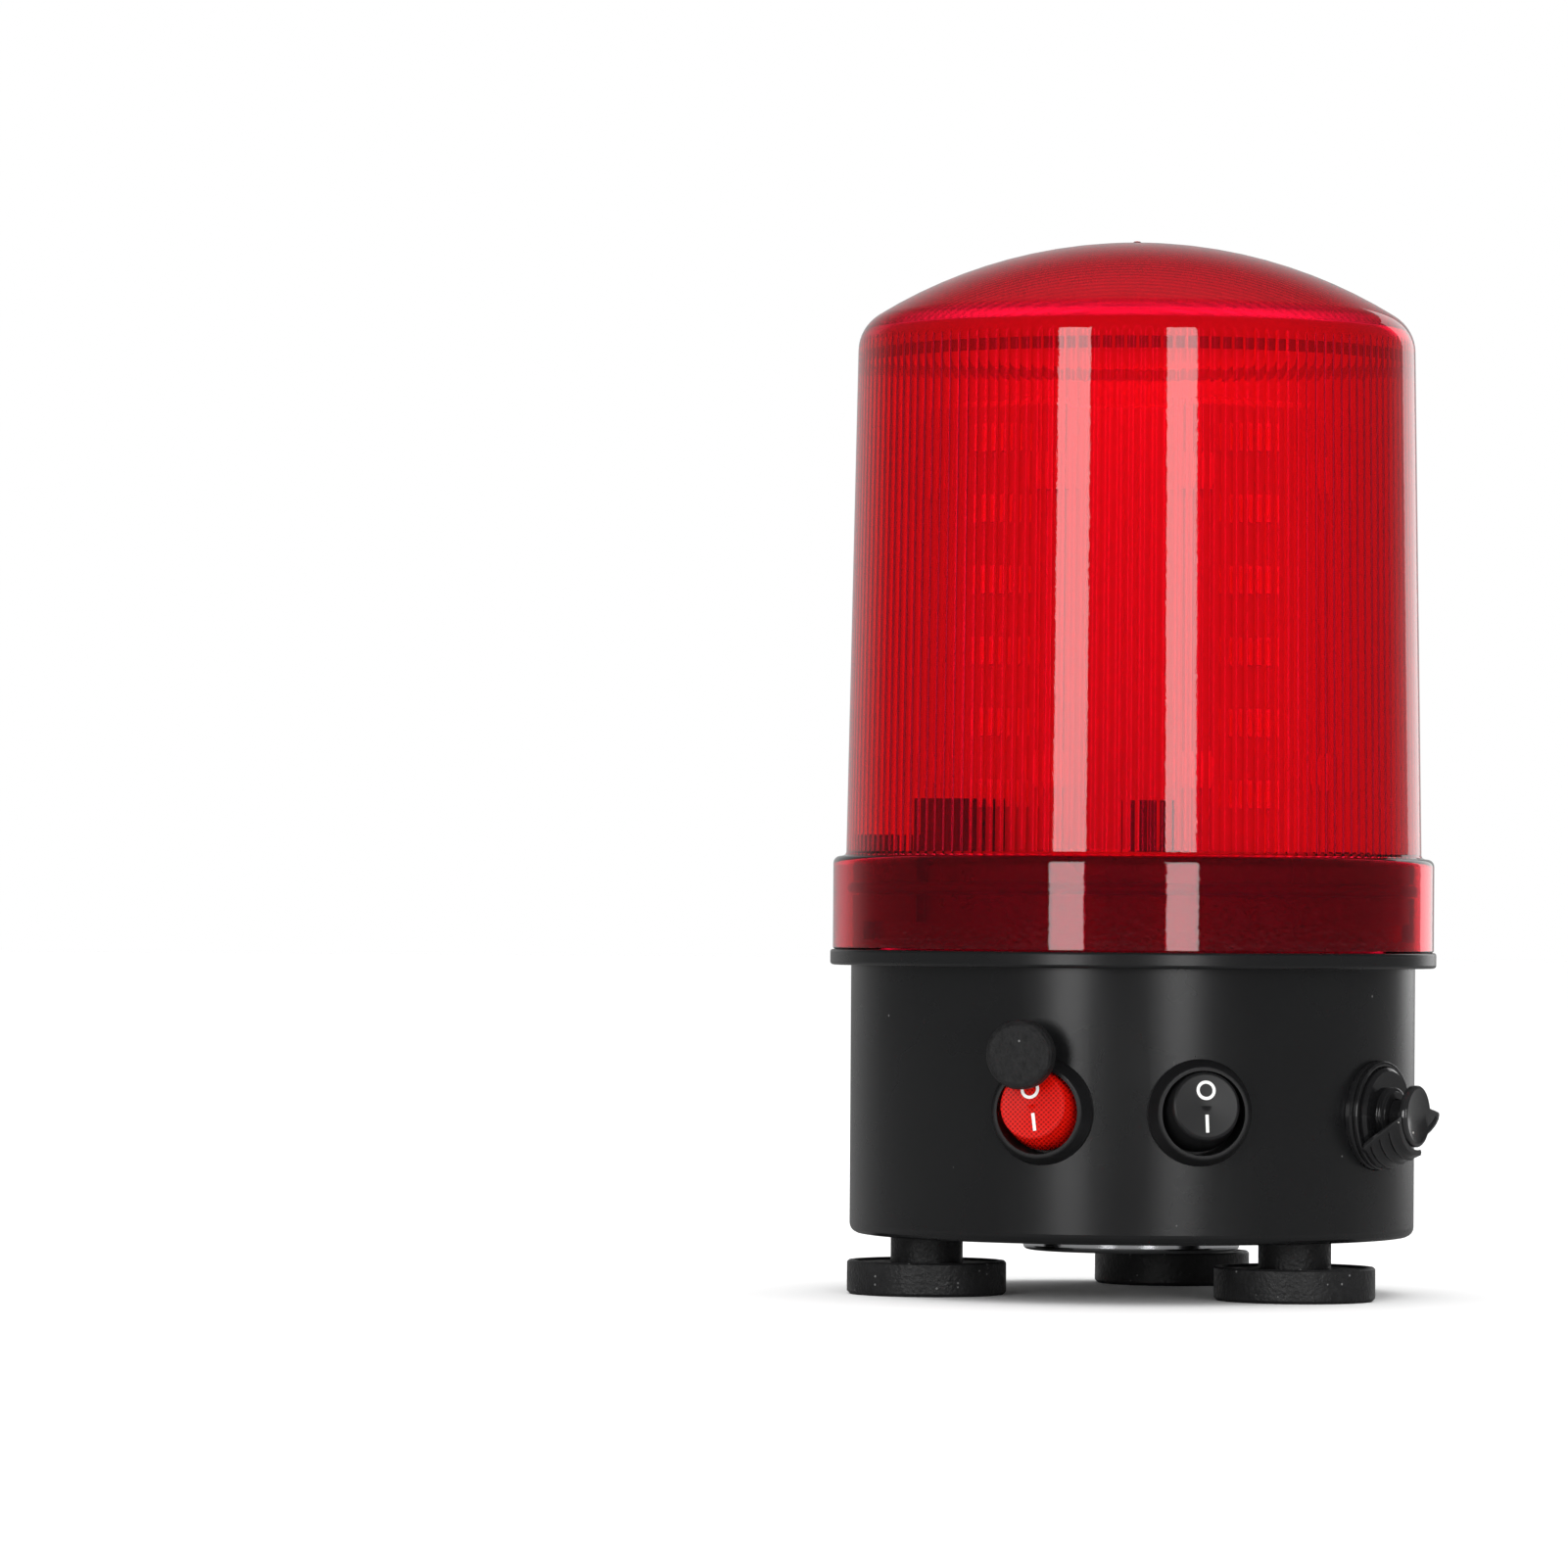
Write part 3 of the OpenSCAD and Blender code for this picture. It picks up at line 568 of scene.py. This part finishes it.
def make_lens(materials):
    L = LENS
    count = L["flutes"] * FLUTE_STEPS
    bottom = box_mm("lens")[0].z
    shoulder, cap, top = dome_outline(0, DOME_STEPS)
    nub = [(0, top + 0.5), (0.5, top + 0.42), (0.75, top + 0.12), (0.95, top - 0.02)]
    outside = nub + [p for p in reversed(cap)] + [p for p in reversed(shoulder)]
    outside += [(L["high_r"] + 0.007, L["shoulder_z"] - 0.4), (L["low_r"], L["top"] + 1.2),
                (L["low_r"] + 0.01, L["top"] + 0.6), (L["low_r"] + 0.2, L["top"] + 0.2),
                (L["low_r"] + 0.7, L["top"])]
    outside += list(reversed(arc(L["collar_r"] - 1.2, L["top"] - 1.2, 1.2, 0, 90, 6)))
    outside += [(L["collar_r"], L["top"] - 1.6), (L["collar_r"], bottom + 0.7),
                (L["collar_r"], bottom + 0.25), (L["collar_r"] - 0.25, bottom)]
    inside_low = [(L["bore"], bottom), (L["bore"], L["shelf"]), (L["low_r"] - 2.0, L["shelf"])]
    in_shoulder, in_cap, in_top = dome_outline(L["wall"], DOME_STEPS)
    crest_low, crest_high = L["low_r"] - 2.9, L["high_r"] - L["wall"]
    shoulder_c = L["high_r"] - L["shoulder_r"]
    shoulder_in = L["shoulder_r"] - L["wall"] + L["depth"]
    wall_rows = [(crest_low, L["shelf"] + 0.05), (crest_high, L["shade_band_z"]),
                 (crest_high, L["shade_band_z"] + L["shade_band_h"])]
    step = 0.22
    heights = [L["shoulder_z"] - 0.3 + step * i for i in range(14)]
    wall_rows += [(crest_high, z) for z in heights]
    meet_z = heights[-1]
    after = [p for p in in_shoulder if p[1] > meet_z + 0.2] + in_cap + [(0, in_top)]
    rings = outside + inside_low + wall_rows + after
    first_flute = len(outside) + len(inside_low)
    last_flute = first_flute + len(wall_rows) - 1
    seam = int(round(count * (360 - SEAM_ANGLE) / 360))

    def shape(i, k, r, z):
        if first_flute <= i <= last_flute:
            across = (k % FLUTE_STEPS) / FLUTE_STEPS * 2 - 1
            rr = r + L["depth"] * (1 - across * across)
            if z > L["shoulder_z"]:
                h = z - L["shoulder_z"]
                rr = min(rr, shoulder_c + math.sqrt(max(0.0, shoulder_in ** 2 - h * h)))
            return rr
        if k == seam and L["top"] - 0.5 > z > bottom + 0.2 and r > 48:
            return r + SEAM_HEIGHT
        return r

    cap_out = len(nub) + len(cap)
    collar_from = len(outside) - 11

    def kinds(i, k):
        if i >= last_flute:
            return HATCHED
        if i < cap_out:
            return CAP
        # painted shade: a near-black red band in the middle of each flute, just below the shoulder
        if i == first_flute + 1 and 1 <= k % FLUTE_STEPS <= 6:
            return PAINTED_SHADE_TEETH
        if collar_from <= i < first_flute - 1:
            return THICK
        return CLEAR

    bm = bmesh.new()
    revolve(bm, rings, count, shape, kinds)
    finishes = [materials["red_lens"],
                red_glass("red_lens_hatched", rough=0.24, rings=0.004),
                red_glass("red_lens_thick", tint=(0.78, 0.004, 0.035)),
                # painted shade: the near-black tint of that band
                red_glass("red_lens_painted_shade_band", tint=(0.22, 0.001, 0.01)),
                red_glass("red_lens_cap", rough=0.12)]
    lens = finish_mesh("lens_glass", bm, finishes, "lens", smooth_angle=24)
    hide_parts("lens")


# ------------------------------------------------------------------ charging inlet

JACK = dict(angle=60.5, height=29.5, ring=46.2, cap=52.6, tilt=6.0, edge_slope=38.0)
RIB_PITCH = 1.55
RIB_HEIGHT = 0.3
HEAD_R = 4.9
THREAD_PITCH = 0.45
TAB = [(4.75, 1.2), (5.6, 1.05), (7.0, 0.8), (8.4, 0.5), (8.65, 0.2), (8.3, -0.6), (7.5, -1.3),
       (6.6, -1.85), (5.2, -2.5), (3.9, -2.97)]
HEAD_EDGE = [(0.45, -0.65), (0.15, -0.6), (0, -0.4), (0, 0.4), (0.12, 0.58), (0.4, 0.65),
             (0.75, 0.6), (1.0, 0.52)]


def outward(angle, height):
    """Local x to the right, y up, z pointing away from the centre line (millimetres in, metres out)."""
    a = math.radians(angle)
    right = Vector((math.cos(a), math.sin(a), 0))
    out = Vector((math.sin(a), -math.cos(a), 0))
    base = Vector((0, 0, height))
    return lambda x, y, z: (base + right * x + Vector((0, 0, y)) + out * z) * MM


def loop_tube(bm, loops, place):
    """Skins a list of equal rings of (x, y, z) points and fills the first and the last."""
    rows = [[bm.verts.new(place(*p)) for p in loop] for loop in loops]
    n = len(rows[0])
    for a, b in zip(rows, rows[1:]):
        for k in range(n):
            bm.faces.new((a[k], a[(k + 1) % n], b[(k + 1) % n], b[k]))
    bm.faces.new(list(reversed(rows[0])))
    bm.faces.new(rows[-1])


def turned(bm, outline, place, count=96):
    """Revolves a closed outline of (radius, z) points round the local z axis."""
    rows = []
    turns = [2 * math.pi * k / count for k in range(count)]
    for r, z in outline:
        rows.append([bm.verts.new(place(r * math.cos(a), r * math.sin(a), z)) for a in turns])
    for a, b in zip(rows, rows[1:] + rows[:1]):
        for k in range(count):
            n = (k + 1) % count
            bm.faces.new((a[k], a[n], b[n], b[k]))


def round_ring(r0, r1, z0, z1, edge, n=4):
    """Outline of a ring with rounded corners, as (radius, z) points."""
    pts = arc(r1 - edge, z0 + edge, edge, -90, 0, n) + arc(r1 - edge, z1 - edge, edge, 0, 90, n)
    pts += arc(r0 + edge, z1 - edge, edge, 90, 180, n) + arc(r0 + edge, z0 + edge, edge, 180, 270, n)
    return pts


def narrowing(w, radius, loss, start, end):
    """Radius that is constant up to start and has lost that much at end."""
    if w < start:
        return radius
    return radius - loss * (w - start) / (end - start)


def make_strap(materials):
    """Rubber ring round the inlet and the ribbed scoop that carries the cap."""
    J = JACK
    place = outward(J["angle"], J["height"])
    bm = bmesh.new()
    turned(bm, round_ring(7.7, 8.62, J["ring"], J["ring"] + 0.85, 0.26), place)
    start, end = J["ring"] + 0.55, J["cap"] + 0.6
    rows, across = 44, 30
    loops = []
    for i in range(rows + 1):
        t = i / rows
        w = start + (end - start) * t
        outer = narrowing(w, 8.45, 2.35, J["ring"] + 1.3, end)
        inner = narrowing(w, 7.74, 2.45, J["ring"] + 1.9, end)
        rib = max(0.0, math.cos((w - J["ring"] - 2.4) / RIB_PITCH * 2 * math.pi)) ** 3 * RIB_HEIGHT
        if w < J["ring"] + 1.8 or w > end - 0.4:
            rib = 0
        edge_y = -5.5 + (w - J["ring"] - 0.3) * math.tan(math.radians(J["edge_slope"]))
        a0 = -math.acos(max(-1, min(1, -edge_y / outer)))
        a1 = math.asin(0.9 / outer)
        mid = (outer + inner) / 2
        loop = []
        for k in range(across + 1):
            a = a0 + (a1 - a0) * k / across
            bead = max(0.0, 1 - abs(a - a0) * outer / 0.9) ** 0.5 * 0.28
            rim = max(0.0, 1 - abs(a - a1) * outer / 0.7) ** 0.5 * 0.12
            r = outer + max(rib * min(1, (a - a0) * outer / 1.4), bead, rim)
            loop.append((r * math.sin(a), -r * math.cos(a), w))
        loop.append((mid * math.sin(a1 + 0.05), -mid * math.cos(a1 + 0.05), w))
        for k in range(across, -1, -1):
            a = a0 + (a1 - a0) * k / across
            loop.append((inner * math.sin(a), -inner * math.cos(a), w))
        loop.append((mid * math.sin(a0 - 0.05), -mid * math.cos(a0 - 0.05), w))
        loops.append(loop)
    loop_tube(bm, loops, place)
    strap = finish_mesh("inlet_strap", bm, [materials["cap_rubber"]], "base", smooth_angle=50)
    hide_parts("jack_strap")


def make_cap(materials):
    """Rubber plug: hollow stem, flat head and the tab it is pulled by."""
    J = JACK
    place = outward(J["angle"], J["height"])
    bm = bmesh.new()
    z1 = J["cap"] - 0.1
    stem = [(1.3, 43.75), (2.3, 43.75), (2.6, 44.1), (2.6, z1 - 1.6), (2.66, z1 - 1.1),
            (2.6, z1 - 0.6), (2.6, z1), (1.3, z1)]
    turned(bm, stem, place, 64)
    tilt = math.radians(J["tilt"])

    def tilted(x, y, z):
        return place(x * math.cos(tilt) + z * math.sin(tilt), y,
                     J["cap"] - x * math.sin(tilt) + z * math.cos(tilt))

    head = []
    a_top = math.atan2(TAB[0][1], TAB[0][0])
    a_low = math.atan2(TAB[-1][1], TAB[-1][0]) + 2 * math.pi
    for k in range(1, 56):
        a = a_top + (a_low - a_top) * k / 56
        head.append((HEAD_R * math.cos(a), HEAD_R * math.sin(a)))
    head += list(reversed(TAB))
    cx = sum(p[0] for p in head) / len(head)
    cy = sum(p[1] for p in head) / len(head)
    loops = []
    for shrink, z in HEAD_EDGE:
        keep = 1 - shrink / 4.6
        loops.append([(cx + (x - cx) * keep, cy + (y - cy) * keep, z) for x, y in head])
    loop_tube(bm, loops, tilted)
    cap = finish_mesh("inlet_cap", bm, [materials["cap_rubber"]], "jack_cap", smooth_angle=40)
    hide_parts("jack_cap")


def make_thread(materials):
    """Fine thread on the mouth of the inlet."""
    J = JACK
    place = outward(J["angle"], J["height"])
    bm = bmesh.new()
    z = J["ring"] + 1.6
    outline = [(3.3, z)]
    for k in range(3):
        root = z + THREAD_PITCH * k
        outline += [(4.2, root), (4.46, root + 0.2), (4.2, root + 0.42)]
    outline += [(3.3, z + 1.4)]
    turned(bm, outline, place, 96)
    thread = finish_mesh("inlet_thread", bm, [materials["jack_black"]], "base", smooth_angle=50)


# ------------------------------------------------------------------ build

make_camera()
make_studio()
MATERIALS = make_materials()
dress_cad_nodes(MATERIALS)
make_lens(MATERIALS)
make_strap(MATERIALS)
make_cap(MATERIALS)
make_thread(MATERIALS)
